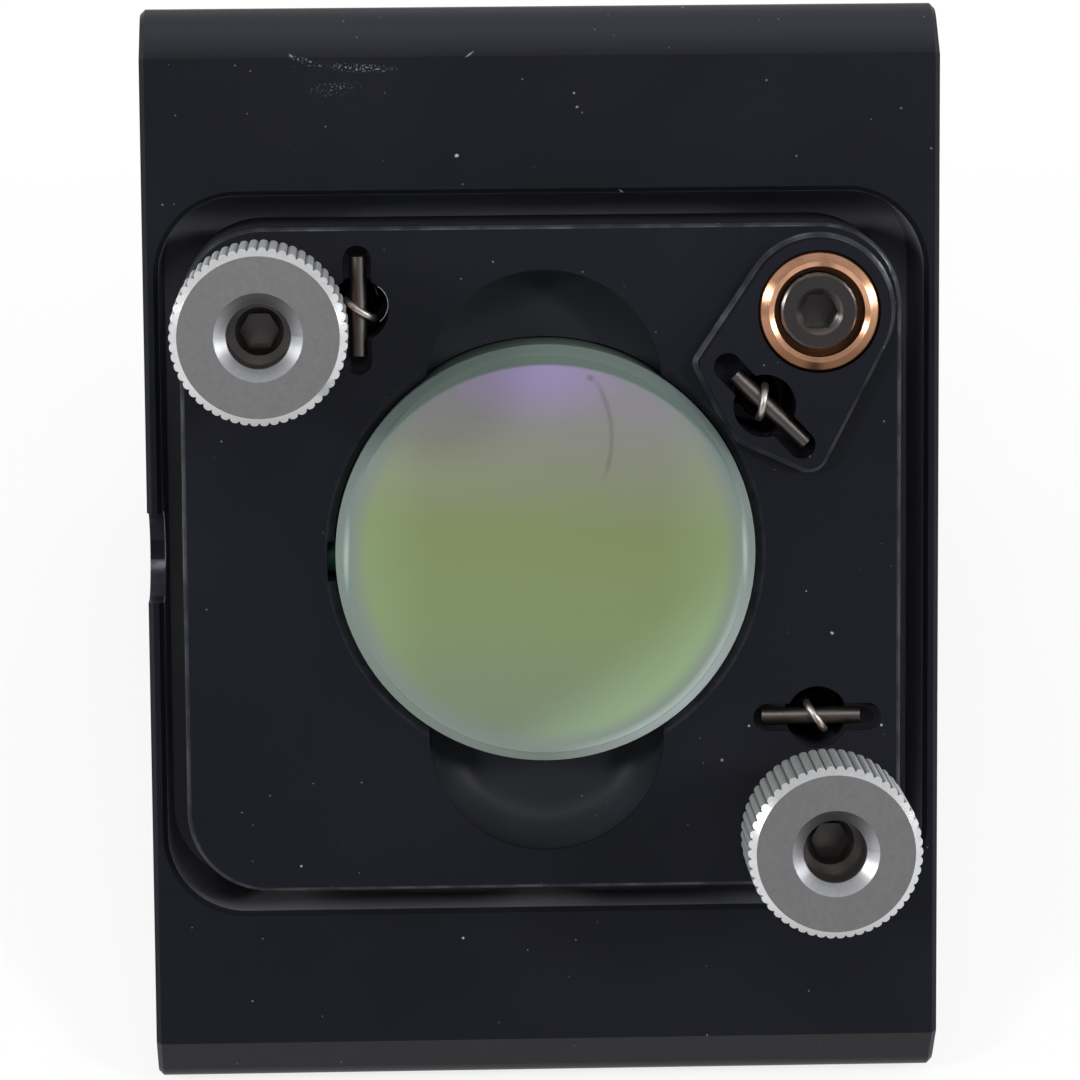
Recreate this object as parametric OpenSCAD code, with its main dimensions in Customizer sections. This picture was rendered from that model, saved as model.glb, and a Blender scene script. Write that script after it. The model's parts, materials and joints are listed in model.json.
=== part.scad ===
// Right-angle kinematic mirror mount for 30 mm cage systems.
// A cube with two crossed beam ports is cut back at 45 degrees. In the cut
// face a sprung plate carries a 25.4 mm mirror on three balls, and two fine
// screws with knurled knobs tilt it. The third screw is the fixed pivot.
//
// Row frame: +Z up, the mount stands on its lower port face, the 45 degree
// face looks towards -Y and +Z, and the origin is the lower port's mouth.
// Face frame (u, v, w): origin where the two port axes cross, u along +X,
// v up the 45 degree face and w out of it. on_face() places it.

/* [Housing] */
// Edge length of the cube
body_w = 48.3; // [48:0.1:50]
// Height of the 45 degree rim above the crossing of the port axes
rim_w = 3.86; // [3.4:0.02:4.2]
// Radius of the two long outer corners
corner_r = 2.5; // [1:0.1:3]
// Leg of the small chamfer on the outer edges
edge_break = 0.3; // [0.1:0.05:0.5]
// Radius of the threaded port bores, at the thread's roots
port_r = 13.15; // [12.9:0.05:13.2]
// Depth of the threaded part of a port
port_depth = 3.8; // [3.2:0.1:4]
// Radius of the beam bore behind the thread
beam_r = 9.8; // [8:0.1:10]
// Half the spacing of the cage rod holes
cage_half = 15; // [15:1:15]
// Radius of a tapped cage rod hole, at the thread's roots
cage_hole_r = 1.42; // [1.3:0.02:1.5]
// Depth of a tapped cage rod hole
cage_hole_depth = 5; // [4:0.5:6]
// Radius of a tapped post hole, at the thread's roots
post_hole_r = 2.08; // [1.9:0.02:2.2]
// Depth of a tapped post hole
post_hole_depth = 8; // [6:0.5:9]

/* [Recess] */
// Width of the recess in the 45 degree face
recess_w = 46.4; // [46:0.1:46.6]
// Length of the recess along the face
recess_h = 44; // [43.5:0.1:44.4]
// Corner radius of the recess
recess_r = 4.8; // [4:0.1:5.5]
// Height of the recess floor, below the port crossing
floor_w = -6; // [-6.2:0.1:-5.8]
// Width of the key notch in the left rim
notch_w = 5.5; // [5:0.1:6]

/* [Plate] */
// Width of the kinematic plate
plate_w = 43.5; // [43.5:0.1:43.8]
// Length of the kinematic plate
plate_h = 40.6; // [40.2:0.1:40.8]
// Corner radius of the plate
plate_r = 5; // [4.5:0.1:5.2]
// Height of the plate's front face
plate_top = 6.2; // [6:0.05:6.4]
// Thickness of the plate
plate_t = 8; // [7.8:0.1:8.1]
// Rounding of the plate's front edge
plate_edge_r = 0.3; // [0.2:0.02:0.3]
// Height of the raised pad around the pivot
boss_h = 1.2; // [0.8:0.05:1.3]
// Width of the finger scallop
scallop_w = 14.3; // [13:0.1:15]
// Length of the finger scallop
scallop_len = 35.5; // [34:0.1:36]
// Height of the scallop's floor
scallop_floor = 2.6; // [2.2:0.1:3.2]

/* [Mirror] */
// Mirror diameter
mirror_d = 25.4; // [25.3:0.1:25.4]
// Mirror thickness
mirror_t = 6.35; // [6:0.05:6.5]
// Bevel on both rims of the mirror
mirror_bevel = 0.6; // [0.2:0.05:0.8]
// Height of the mirror's outer face
mirror_top = 7.22; // [7.1:0.02:7.3]
// How far the mirror sits up the face from the port crossing
mirror_v = 0.43; // [0.3:0.01:0.6]

/* [Adjusters] */
// Radius of the fine adjuster screws
screw_r = 2.3; // [2.25:0.01:2.3]
// Radial clearance of a screw in its bushing
thread_gap = 0.04; // [0.03:0.01:0.08]
// Radius of the balls
ball_r = 1.5; // [1.45:0.01:1.55]
// Gap between a ball and what it touches
ball_gap = 0.04; // [0.02:0.01:0.06]
// Distance from an adjuster's ball centre to its knob's face
knob_reach = 24.03; // [23.5:0.05:24.5]
// Knob radius over the knurl
knob_r = 5.16; // [5:0.02:5.3]
// Knob length
knob_len = 6.6; // [6:0.1:7]
// Knurl teeth on a knob
knurl_count = 54; // [48:2:72]
// Depth of the screw's end below the knob's face
screw_sink = 3.8; // [3.4:0.1:4.2]

/* [Springs] */
// Wire diameter of the springs
wire_d = 0.45; // [0.4:0.01:0.5]
// Mean coil radius
coil_r = 0.98; // [0.9:0.01:1.05]
// Turns between the hooks
coil_turns = 12; // [8:1:14]
// Radius of the dowel pins that hold the springs
pin_r = 0.515; // [0.45:0.005:0.55]
// Length of a plate pin
pin_len = 6; // [5.8:0.05:6.2]

/* [Hidden] */
$fn = 64;

half = body_w / 2;
eps = 0.01;
// Cuts run this far past the faces they open.
over = 1;
// A gap between two pieces of one assembly that touch.
seat_fit = 0.01;

// Adjuster axes on the face, as [u, v].
pivot_at = [16.52, 15];
adjuster_1_at = [-16.87, 15];
adjuster_2_at = [16.52, -15.87];

// The plate sits a little left of the middle of the recess.
plate_u = -0.16;
plate_back = plate_top - plate_t;
boss_top = plate_top + boss_h;

// The raised pad is hulled from circles, each [centre, radius at the top]:
// round the pivot, the far end of the slot, its well and its near end. A
// fillet runs round its foot.
pad_fillet = 0.38;
pad_circles = [
    [pivot_at, 4.35],
    [[9.85, 11.85], 0.55],
    [[13.32, 9.4], 2.55],
    [[15.95, 6.4], 0.92]
];

// Ball centres. A cone or groove of 90 degrees lets a ball sink into the
// seat, and the flat seat holds its ball up on the floor.
seat_r = 2.5;
seat_t = 2.5;
flat_seat_t = 1.3;
seat_mouth_r = 1.7;
sunk_ball_w = floor_w - seat_mouth_r + (ball_r + ball_gap) * sqrt(2);
flat_ball_w = floor_w + ball_r + ball_gap;

// Heights of the knobs' faces.
knob_1_face = flat_ball_w + knob_reach;
knob_2_face = sunk_ball_w + knob_reach;

// Bushings: a body pressed through the plate under a proud flange.
bush_body_r = 3;
bush_flange_r = 3.7;
bush_top = 7.7;
bush_bore_r = screw_r + thread_gap;
bush_counter_r = 2.74;
bush_counter_depth = 1.6;
bush_mouth_r = 3.04;
bush_edge = 0.08;
bush_foot = plate_back + 0.3;

// Screws
screw_end_r = 1.8;
screw_lip = 0.3;
hex_af = 2;
hex_depth = 3.2;
hex_mouth_r = 1.42;
pivot_screw_top = 7.45;

// Knob
knurl_depth = 0.2;
knob_chamfer = 0.47;
knob_hole_r = 1.88;
knob_sink_r = 2.58;

// Mirror cell
mirror_r = mirror_d / 2;
mirror_back = mirror_top - mirror_t;
cell_r = mirror_r + 0.1;
cell_mouth_r = 13.35;
cell_mouth_depth = 0.5;
lip_r = 11.3;
lip_back_r = 13.2;

// Mirror lock screw, in the left edge of the plate.
lock_w = 2.6;
lock_r = 1.42;
lock_tip_r = 1.2;
lock_outer_u = -20.6;
lock_joint_u = -14.6;
lock_inner_u = -mirror_r - 0.04;

// Spring anchors. Each entry: centre of the pin [u, v], its direction, and
// the height of its axis. The hooks turn a little against the pins.
pin_seat_depth = 1.45;
pin_w = plate_top - pin_seat_depth + pin_r;
slot_w = 1.7;
well_r = 1.9;
anchor_w = -8.2;
anchor_well_r = 1.7;
anchor_floor = -9.4;
anchor_past = 2;
slots = [
    // [slot centre, slot angle, pin centre, pin height, hook at, hook angle, side, pin angle, slot length]
    [[-11.2, 15.25], 90, [-11.13, 15.43], pin_w, [-11.13, 15.25], -33, -1, 90, 7.8],
    [[16.5, -9.9], 0, [16.14, -9.94], pin_w, [16.42, -9.94], -56, 1, 0, 7.8],
    [[13.22, 9.34], -47, [13.62, 9.09], pin_w + boss_h, [13.14, 9.545], -100.4, 1, -43.6, 8.2]
];

aluminium = [0.78, 0.78, 0.78];
anodized = [0.11, 0.115, 0.135];
bronze = [0.80, 0.55, 0.40];
steel = [0.55, 0.54, 0.53];
dark_steel = [0.36, 0.34, 0.33];
hard_steel = [0.70, 0.70, 0.72];
glass = [0.70, 0.76, 0.64, 0.9];
nylon = [0.50, 0.72, 0.68];

// ---- helpers ----

// Puts children given in the face frame into the row frame.
module on_face() {
    translate([0, 0, half])
        rotate([45, 0, 0])
            children();
}

// A rectangle with round corners, centred.
module round_rect(w, h, r) {
    square([w - 2 * r, h], center = true);
    square([w, h - 2 * r], center = true);
    for (su = [-1, 1], sv = [-1, 1])
        translate([su * (w / 2 - r), sv * (h / 2 - r)])
            circle(r = r);
}

// Sweeps a section, x outwards and y up, round such a rectangle's outline.
module around_rect(w, h, r) {
    for (q = [0:3]) {
        side = (q % 2 == 0) ? h - 2 * r : w - 2 * r;
        reach = (q % 2 == 0) ? w / 2 : h / 2;
        rotate(90 * q) {
            translate([reach, 0, 0])
                rotate([90, 0, 0])
                    linear_extrude(side, center = true)
                        children();
            translate([reach - r, side / 2, 0])
                rotate_extrude(angle = 90)
                    translate([r, 0])
                        children();
        }
    }
}

// The section that cuts a 45 degree chamfer of this leg off an edge.
module chamfer_section(leg) {
    rotate(45)
        square(leg * sqrt(2), center = true);
}

// The section that rounds an edge over, its corner at the origin.
module round_over_section(r) {
    difference() {
        translate([-r, -r])
            square(2 * r);
        translate([-r, -r])
            circle(r = r, $fn = 32);
        translate([-r - over, -r - over])
            square([over, 2 * r + over]);
        translate([-r - over, -r - over])
            square([2 * r + over, over]);
    }
}

// A blind drilled hole into -z, with its drill point.
module drilled(r, depth) {
    translate([0, 0, -depth])
        cylinder(r = r, h = depth + over);
    translate([0, 0, -depth - 0.5 * r])
        cylinder(r1 = 0, r2 = r, h = 0.5 * r + eps);
}

// A 45 degree countersink from one radius to a wider one at height z.
module flare(r, mouth_r, z) {
    translate([0, 0, z - mouth_r + r])
        cylinder(r1 = r, r2 = mouth_r + over, h = mouth_r - r + over);
}

// A hexagon socket cut into -z.
module hex_socket(across_flats, depth) {
    translate([0, 0, -depth])
        cylinder(d = across_flats / cos(30), h = depth + over, $fn = 6);
}

// ---- housing ----

// Side view of the cube with its 45 degree cut: x is Y, y is Z.
module body_section() {
    rim_rise = rim_w * sqrt(2);
    difference() {
        translate([-half, 0])
            square(body_w);
        polygon([
            [-half - over, rim_rise - over],
            [half + over - rim_rise, body_w + over],
            [-half - over, body_w + over]
        ]);
        translate([half - corner_r, body_w - corner_r])
            square(corner_r + over);
        translate([-half - over, -over])
            square(corner_r + over);
    }
    translate([half - corner_r, body_w - corner_r])
        circle(r = corner_r);
    translate([-half + corner_r, corner_r])
        circle(r = corner_r);
}

// Chamfers on the edges of the two sides: [y, z, turn, length].
module side_chamfers() {
    rim_rise = rim_w * sqrt(2);
    rim_mid = -rim_rise / 2;
    flat = rim_rise - corner_r;
    edges = [
        [rim_mid, half - rim_mid, 45, 2 * (half * sqrt(2) - rim_w)],
        [half - rim_rise + flat / 2, body_w, 0, flat],
        [-half, rim_rise - flat / 2, 90, flat],
        [half, half - corner_r / 2, 90, body_w - corner_r],
        [corner_r / 2, 0, 0, body_w - corner_r]
    ];
    for (side = [-1, 1]) {
        for (e = edges)
            translate([side * half, e[0], e[1]])
                rotate([e[2], 0, 0])
                    rotate([90, 0, 0])
                        linear_extrude(e[3], center = true)
                            chamfer_section(edge_break);
        corners = [[half - corner_r, body_w - corner_r, 0], [-half + corner_r, corner_r, 180]];
        for (c = corners)
            translate([side * half, c[0], c[1]])
                rotate([c[2], 0, 0])
                    rotate([90, 0, 90])
                        rotate_extrude(angle = 90)
                            translate([corner_r, 0])
                                chamfer_section(edge_break);
    }
}

// One port face, cut into -z: thread, beam bore and four rod holes.
module port_cuts() {
    translate([0, 0, -port_depth])
        cylinder(r = port_r, h = port_depth + over, $fn = 96);
    translate([0, 0, -half - 6])
        cylinder(r = beam_r, h = half + 6, $fn = 96);
    for (su = [-1, 1], sv = [-1, 1])
        translate([su * cage_half, sv * cage_half, 0])
            drilled(cage_hole_r, cage_hole_depth, $fn = 24);
}

module key_notch() {
    translate([-half - over, 0, lock_w])
        rotate([0, 90, 0])
            cylinder(d = notch_w, h = over + 2, $fn = 48);
    translate([-half - over, -notch_w / 2, lock_w])
        cube([over + 2, notch_w, rim_w]);
}

// Well for a spring's lower hook, and the cross bore for its pin.
module spring_anchor(s) {
    hook = s[4];
    translate([hook[0], hook[1], anchor_floor])
        cylinder(r = anchor_well_r, h = floor_w - anchor_floor + over, $fn = 32);
    span = half + over - abs(hook[0]) + anchor_past;
    translate([s[6] * (half + over), hook[1], anchor_w])
        rotate([0, -90 * s[6], 0])
            cylinder(r = pin_r + seat_fit, h = span, $fn = 24);
}

module seat_pocket(at, depth) {
    translate([at[0], at[1], floor_w - depth])
        cylinder(r = seat_r, h = depth + over, $fn = 32);
}

module housing() {
    color(anodized)
    difference() {
        rotate([90, 0, 90])
            linear_extrude(body_w, center = true)
                body_section();
        side_chamfers();
        rotate([180, 0, 0])
            port_cuts();
        translate([0, half, half])
            rotate([-90, 0, 0])
                port_cuts();
        for (side = [-1, 1])
            translate([side * half, 9, half - 9])
                rotate([0, 90 * side, 0])
                    drilled(post_hole_r, post_hole_depth, $fn = 32);
        on_face() {
            translate([0, 0, floor_w])
                linear_extrude(half)
                    round_rect(recess_w, recess_h, recess_r);
            translate([0, 0, rim_w])
                around_rect(recess_w, recess_h, recess_r)
                    chamfer_section(edge_break);
            key_notch();
            for (s = slots)
                spring_anchor(s);
            seat_pocket(pivot_at, seat_t);
            seat_pocket(adjuster_2_at, seat_t);
            seat_pocket(adjuster_1_at, flat_seat_t);
        }
    }
}

module cone_seat() {
    color(hard_steel)
    on_face()
        translate([pivot_at[0], pivot_at[1], floor_w - seat_t])
            difference() {
                cylinder(r = seat_r - seat_fit, h = seat_t, $fn = 32);
                translate([0, 0, seat_t - seat_mouth_r])
                    cylinder(r1 = 0, r2 = seat_mouth_r + over, h = seat_mouth_r + over, $fn = 32);
            }
}

module groove_seat() {
    color(hard_steel)
    on_face()
        translate([adjuster_2_at[0], adjuster_2_at[1], floor_w - seat_t])
            difference() {
                cylinder(r = seat_r - seat_fit, h = seat_t, $fn = 32);
                translate([0, 0, seat_t])
                    rotate([90, 0, 0])
                        linear_extrude(3 * seat_r, center = true)
                            chamfer_section(seat_mouth_r);
            }
}

module flat_seat() {
    color(hard_steel)
    on_face()
        translate([adjuster_1_at[0], adjuster_1_at[1], floor_w - flat_seat_t])
            cylinder(r = seat_r - seat_fit, h = flat_seat_t, $fn = 32);
}

module housing_spring_pins() {
    color(dark_steel)
    on_face()
        for (s = slots)
            translate([s[6] * (half - 0.2), s[4][1], anchor_w])
                rotate([0, -90 * s[6], 0])
                    cylinder(r = pin_r, h = half - 0.2 - abs(s[4][0]) + anchor_past - eps, $fn = 24);
}

// ---- plate ----

// One layer of the raised pad, between two [height, growth] pairs.
module pad_layer(low, high) {
    hull()
        for (c = pad_circles)
            translate([c[0][0], c[0][1], low[0]])
                cylinder(r1 = c[1] + low[1], r2 = c[1] + high[1], h = high[0] - low[0], $fn = 48);
}

// The raised pad, with a fillet of three flats round its foot.
module raised_pad() {
    f = pad_fillet;
    levels = [
        [plate_top - eps, f],
        [plate_top + f * (1 - cos(30)), f * (1 - sin(30))],
        [plate_top + f * (1 - cos(60)), f * (1 - sin(60))],
        [boss_top, 0]
    ];
    for (i = [0:2])
        pad_layer(levels[i], levels[i + 1]);
}

// A spring slot: a channel for the pin and a round well for the coil.
module spring_slot(s, top) {
    translate([s[0][0], s[0][1], 0]) {
        translate([0, 0, plate_back - over])
            cylinder(r = well_r, h = plate_t + boss_h + 2 * over, $fn = 32);
        rotate(s[1])
            translate([0, 0, top - pin_seat_depth])
                linear_extrude(pin_seat_depth + over)
                    round_rect(s[8], slot_w, slot_w / 2 - eps, $fn = 24);
    }
}

// Half of the scallop's cross section: flat floor, filleted wall.
module scallop_section() {
    fillet = 2.4;
    reach = scallop_w / 2;
    height = plate_top - scallop_floor + over;
    translate([0, fillet])
        square([reach, height - fillet]);
    square([reach - fillet, height]);
    translate([reach - fillet, fillet])
        circle(r = fillet, $fn = 48);
}

module finger_scallop() {
    run = scallop_len - scallop_w;
    translate([0, -0.16, scallop_floor]) {
        for (end = [-1, 1])
            translate([0, end * run / 2, 0])
                rotate_extrude()
                    intersection() {
                        scallop_section();
                        square([scallop_w, plate_t]);
                    }
        for (flip = [0, 1])
            mirror([flip, 0, 0])
                rotate([90, 0, 0])
                    linear_extrude(run, center = true)
                        scallop_section();
    }
}

// Bore that holds the mirror, its mouth, and the flared lip behind it.
module mirror_cell() {
    translate([0, mirror_v, 0]) {
        translate([0, 0, mirror_back])
            cylinder(r = cell_r, h = plate_t, $fn = 96);
        translate([0, 0, plate_top - cell_mouth_depth])
            cylinder(r1 = cell_r, r2 = cell_mouth_r, h = cell_mouth_depth, $fn = 96);
        translate([0, 0, plate_top])
            cylinder(r = cell_mouth_r, h = boss_h + over, $fn = 96);
        translate([0, 0, plate_back - eps])
            cylinder(r1 = lip_back_r, r2 = lip_r, h = mirror_back - plate_back + 2 * eps, $fn = 96);
    }
}

module bushing_hole(at) {
    translate([at[0], at[1], plate_back - over])
        cylinder(r = bush_body_r + seat_fit, h = plate_t + 2 * over, $fn = 48);
    translate([at[0], at[1], plate_top])
        cylinder(r = bush_flange_r + seat_fit, h = boss_h + over, $fn = 48);
}

// Tapped hole for the lock screw, and the sight slot over its tip.
module lock_hole() {
    translate([-half, 0, lock_w])
        rotate([0, 90, 0])
            cylinder(r = lock_r + 0.03, h = half - mirror_r + 0.5, $fn = 32);
    translate([-mirror_r - 0.5, -lock_tip_r, lock_w])
        cube([1, 2 * lock_tip_r, plate_t]);
}

module kinematic_plate() {
    color(anodized)
    on_face()
        difference() {
            union() {
                translate([plate_u, 0, plate_back])
                    linear_extrude(plate_t)
                        round_rect(plate_w, plate_h, plate_r);
                raised_pad();
            }
            translate([plate_u, 0, plate_top])
                intersection() {
                    around_rect(plate_w, plate_h, plate_r)
                        round_over_section(plate_edge_r);
                    translate([-half, -half, -over])
                        cube([body_w, body_w, over + eps]);
                }
            translate([plate_u, 0, plate_back])
                around_rect(plate_w, plate_h, plate_r)
                    chamfer_section(edge_break);
            mirror_cell();
            finger_scallop();
            for (at = [pivot_at, adjuster_1_at, adjuster_2_at])
                bushing_hole(at);
            spring_slot(slots[0], plate_top);
            spring_slot(slots[1], plate_top);
            spring_slot(slots[2], boss_top);
            lock_hole();
        }
}

module mirror_section() {
    b = mirror_bevel;
    polygon([
        [0, 0],
        [mirror_r - b, 0],
        [mirror_r, b],
        [mirror_r, mirror_t - b],
        [mirror_r - b, mirror_t],
        [0, mirror_t]
    ]);
}

module mirror_disc() {
    color(glass)
    on_face()
        translate([0, mirror_v, mirror_back + seat_fit])
            rotate_extrude($fn = 128)
                mirror_section();
}

module bushing(at) {
    color(bronze)
    on_face()
        translate([at[0], at[1], 0])
            difference() {
                rotate_extrude($fn = 64)
                    polygon([
                        [0, bush_foot],
                        [bush_body_r, bush_foot],
                        [bush_body_r, plate_top + seat_fit],
                        [bush_flange_r, plate_top + seat_fit],
                        [bush_flange_r, bush_top - bush_edge],
                        [bush_flange_r - bush_edge, bush_top],
                        [0, bush_top]
                    ]);
                translate([0, 0, bush_foot - over])
                    cylinder(r = bush_bore_r, h = bush_top - bush_foot + 2 * over);
                translate([0, 0, bush_top - bush_counter_depth])
                    cylinder(r = bush_counter_r, h = bush_counter_depth + over);
                flare(bush_counter_r, bush_mouth_r, bush_top);
            }
}

module plate_spring_pins() {
    color(dark_steel)
    on_face()
        for (s = slots)
            translate([s[2][0], s[2][1], s[3] + seat_fit])
                rotate(s[7])
                    rotate([0, 90, 0])
                        cylinder(r = pin_r, h = pin_len, center = true, $fn = 24);
}

// ---- adjusters ----

module ball(at, w) {
    color(hard_steel)
    on_face()
        translate([at[0], at[1], w])
            sphere(r = ball_r, $fn = 24);
}

// A fine screw from its ball cup up to its socket end.
module fine_screw(at, ball_w, top_w) {
    color(steel)
    on_face()
        translate([at[0], at[1], 0])
            difference() {
                union() {
                    translate([0, 0, ball_w - screw_lip])
                        cylinder(r1 = screw_end_r, r2 = screw_r, h = ball_r + screw_lip, $fn = 48);
                    translate([0, 0, ball_w + ball_r - eps])
                        cylinder(r = screw_r, h = top_w - ball_w - ball_r - 0.15 + eps, $fn = 48);
                    translate([0, 0, top_w - 0.15 - eps])
                        cylinder(r1 = screw_r, r2 = screw_r - 0.15, h = 0.15 + eps, $fn = 48);
                }
                translate([0, 0, ball_w])
                    sphere(r = ball_r + ball_gap, $fn = 24);
                translate([0, 0, ball_w - screw_lip - over])
                    cylinder(r = 1.49, h = screw_lip + over, $fn = 24);
                translate([0, 0, top_w])
                    hex_socket(hex_af, hex_depth);
                flare(hex_af / 2, hex_mouth_r, top_w);
            }
}

// Straight knurl: broad round crests between narrow grooves.
module knurl_outline() {
    step = 360 / knurl_count;
    root = knob_r - knurl_depth;
    shoulder = knob_r - 0.25 * knurl_depth;
    tooth = [[-0.32, shoulder], [-0.12, knob_r], [0.12, knob_r], [0.32, shoulder], [0.5, root]];
    polygon([
        for (i = [0:knurl_count - 1], p = tooth)
            let (a = (i + p[0]) * step) [p[1] * cos(a), p[1] * sin(a)]
    ]);
}

// Knob with a through hole, from its face at z = 0 down.
module knob(at, face_w) {
    c = knob_chamfer;
    color(aluminium)
    on_face()
        translate([at[0], at[1], face_w])
            difference() {
                intersection() {
                    translate([0, 0, -knob_len])
                        linear_extrude(knob_len)
                            knurl_outline();
                    rotate_extrude($fn = 96)
                        polygon([
                            [0, -knob_len],
                            [knob_r - c, -knob_len],
                            [knob_r, c - knob_len],
                            [knob_r, -c],
                            [knob_r - c, 0],
                            [0, 0]
                        ]);
                }
                translate([0, 0, -knob_len - over])
                    cylinder(r = screw_r + seat_fit, h = knob_len - screw_sink + over, $fn = 48);
                translate([0, 0, -screw_sink - eps])
                    cylinder(r = knob_hole_r, h = screw_sink + over, $fn = 48);
                flare(knob_hole_r, knob_sink_r, 0);
            }
}

// ---- mirror lock ----

module mirror_lock_screw() {
    color(dark_steel)
    on_face()
        translate([lock_outer_u, 0, lock_w])
            rotate([0, 90, 0])
                difference() {
                    cylinder(r = lock_r, h = lock_joint_u - lock_outer_u, $fn = 32);
                    mirror([0, 0, 1])
                        hex_socket(1.27, 1.5);
                }
}

module mirror_lock_tip() {
    color(nylon)
    on_face()
        translate([lock_joint_u + seat_fit, 0, lock_w])
            rotate([0, 90, 0])
                cylinder(r = lock_tip_r, h = lock_inner_u - lock_joint_u - seat_fit, $fn = 32);
}

// ---- springs ----

function unit(v) = v / norm(v);

// A tube along points: six sides, each ring square to the path.
module wire(points, r) {
    n = len(points);
    sides = 6;
    tangent = [
        for (i = [0:n - 1])
            unit(points[min(i + 1, n - 1)] - points[max(i - 1, 0)])
    ];
    across = [for (i = [0:n - 1]) wire_normal(tangent, i)];
    rings = [
        for (i = [0:n - 1], k = [0:sides - 1])
            let (a = 360 * k / sides, up = cross(tangent[i], across[i]))
                points[i] + r * (cos(a) * across[i] + sin(a) * up)
    ];
    skin = [
        for (i = [0:n - 2], k = [0:sides - 1])
            let (a = i * sides + k, b = i * sides + (k + 1) % sides)
                each [[a, b, b + sides], [a, b + sides, a + sides]]
    ];
    start = [for (k = [0:sides - 1]) sides - 1 - k];
    finish = [for (k = [0:sides - 1]) (n - 1) * sides + k];
    polyhedron(points = rings, faces = concat([start], skin, [finish]), convexity = 10);
}

// A normal carried along the path, so that the rings don't twist.
function wire_normal(t, i) =
    i == 0
        ? unit(cross(t[0], abs(t[0][0]) < 0.9 ? [1, 0, 0] : [0, 1, 0]))
        : let (last = wire_normal(t, i - 1)) unit(last - (last * t[i]) * t[i]);

// Wire of an extension spring on the axis x = y = 0: round the lower pin in
// the plane at the angle foot, up the coil and over the upper pin in the
// plane of the x axis.
function spring_path(low, high, foot) =
    let (
        drop = pin_r + wire_d / 2 - coil_r + 0.03,
        low_c = low - drop,
        high_c = high + drop,
        start = low_c + coil_r + 0.35,
        finish = high_c - coil_r - 0.35,
        per_turn = 8,
        count = coil_turns * per_turn,
        loop = [for (a = [0:30:240]) a]
    )
    concat(
        [for (i = [len(loop) - 1:-1:0])
            let (out = coil_r * cos(loop[i]))
                [out * cos(foot), out * sin(foot), low_c - coil_r * sin(loop[i])]],
        [for (i = [0:count])
            let (a = foot + (360 * coil_turns - foot) * i / count)
                [coil_r * cos(a), coil_r * sin(a), start + (finish - start) * i / count]],
        [for (a = loop) [coil_r * cos(a), 0, high_c + coil_r * sin(a)]]
    );

module spring(s) {
    color(steel)
    on_face()
        translate([s[4][0], s[4][1], 0])
            rotate(s[5])
                wire(spring_path(anchor_w, s[3], -90 - s[5]), wire_d / 2);
}

housing();
cone_seat();
groove_seat();
flat_seat();
housing_spring_pins();
kinematic_plate();
mirror_disc();  // mirror
bushing(pivot_at);  // pivot_bushing
bushing(adjuster_1_at);  // adjuster_bushing_1
bushing(adjuster_2_at);  // adjuster_bushing_2
plate_spring_pins();
mirror_lock_screw();
mirror_lock_tip();
ball(pivot_at, sunk_ball_w);  // pivot_ball
fine_screw(pivot_at, sunk_ball_w, pivot_screw_top);  // pivot_screw
ball(adjuster_1_at, flat_ball_w);  // adjuster_ball_1
fine_screw(adjuster_1_at, flat_ball_w, knob_1_face - screw_sink);  // adjuster_screw_1
knob(adjuster_1_at, knob_1_face);  // adjuster_knob_1
ball(adjuster_2_at, sunk_ball_w);  // adjuster_ball_2
fine_screw(adjuster_2_at, sunk_ball_w, knob_2_face - screw_sink);  // adjuster_screw_2
knob(adjuster_2_at, knob_2_face);  // adjuster_knob_2
spring(slots[0]);  // spring_1
spring(slots[1]);  // spring_2
spring(slots[2]);  // spring_3
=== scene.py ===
"""Looks of a right-angle kinematic mirror mount, laid out as a Blender add-on and run as a script.

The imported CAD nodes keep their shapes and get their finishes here. The springs, the bushings, the
fine screws and the threads of the holes are modelled here, around the CAD bodies. Lengths of
meshes are metres, and lengths in materials are millimetres. The face frame (u, v, w) lies in the
45 degree face: u along +X, v up the face, w out of it, with its origin where the axes of the two
ports cross.
"""
import json
import math

import bmesh
import bpy
from mathutils import Matrix, Vector


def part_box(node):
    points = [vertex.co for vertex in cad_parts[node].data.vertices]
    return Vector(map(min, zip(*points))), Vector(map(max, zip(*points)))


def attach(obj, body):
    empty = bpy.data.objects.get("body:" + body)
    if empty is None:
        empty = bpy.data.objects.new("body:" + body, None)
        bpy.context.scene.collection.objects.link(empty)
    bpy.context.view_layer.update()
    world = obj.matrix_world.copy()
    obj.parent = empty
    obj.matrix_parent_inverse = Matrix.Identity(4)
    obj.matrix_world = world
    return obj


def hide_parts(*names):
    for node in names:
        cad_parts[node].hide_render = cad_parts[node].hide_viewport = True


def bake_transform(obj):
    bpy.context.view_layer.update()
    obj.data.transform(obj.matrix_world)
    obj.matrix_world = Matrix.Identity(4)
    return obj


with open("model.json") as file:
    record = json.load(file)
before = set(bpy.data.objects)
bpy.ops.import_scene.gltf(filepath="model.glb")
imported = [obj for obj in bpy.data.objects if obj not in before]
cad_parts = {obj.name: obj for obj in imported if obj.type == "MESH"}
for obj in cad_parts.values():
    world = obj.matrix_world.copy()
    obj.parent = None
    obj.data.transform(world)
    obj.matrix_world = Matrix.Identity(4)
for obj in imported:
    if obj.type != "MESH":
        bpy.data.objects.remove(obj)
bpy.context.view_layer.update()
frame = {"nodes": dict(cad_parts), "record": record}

bl_info = {
    "name": "Kinematic Mirror Mount",
    "version": (1, 0, 0),
    "blender": (4, 5, 0),
    "location": "3D View > Sidebar > Mirror Mount",
    "description": "Finishes, springs, threads and stage for a right-angle kinematic mirror mount",
    "category": "Add Mesh",
}

MM = 0.001
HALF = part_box("housing")[1].x
FACE = Matrix.Translation((0, 0, HALF)) @ Matrix.Rotation(math.radians(45), 4, "X")
TO_FACE = FACE.inverted()
OUTWARD = FACE.to_3x3().col[2]

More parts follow.
